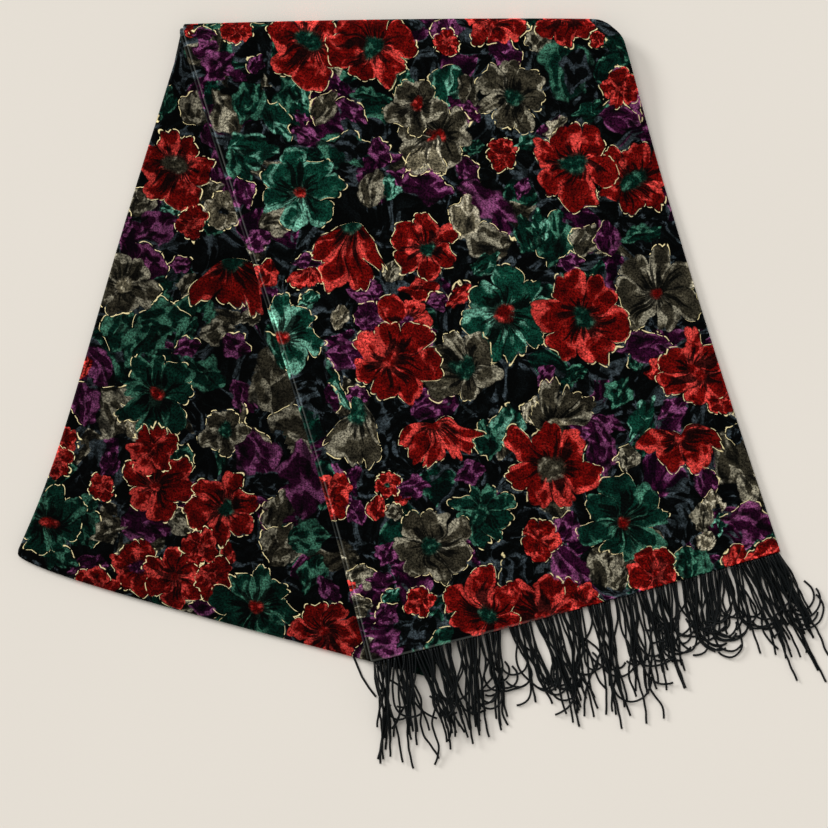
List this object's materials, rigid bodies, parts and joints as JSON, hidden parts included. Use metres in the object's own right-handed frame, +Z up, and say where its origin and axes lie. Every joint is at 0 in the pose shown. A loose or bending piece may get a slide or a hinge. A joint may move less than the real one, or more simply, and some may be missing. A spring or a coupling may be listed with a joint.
{
  "type": "velvet scarf",
  "caption": "Oblong velvet scarf, doubled end to end and laid down in a V over a slanting fold, with a long black cord fringe along its hems.",
  "frame": {"origin": "on the floor, on the flat underside of the lowest layer, near the middle of the laid-out shape", "axes": "+X to the right across the shape as pictured, +Y towards the top fold, +Z up off the floor"},
  "size_m": [0.574, 0.5399, 0.0145],
  "materials": {
    "velvet": "short pile, near black with a floral burnout in red, green, taupe and purple",
    "cord": "smooth twisted rayon cord, slightly glossy"
  },
  "bodies": {
    "root": {"front_stretch": "velvet", "back_stretch": "velvet", "hidden_layers": "velvet", "fringe_upper": "cord", "fringe_lower": "cord"}
  },
  "joints": []
}
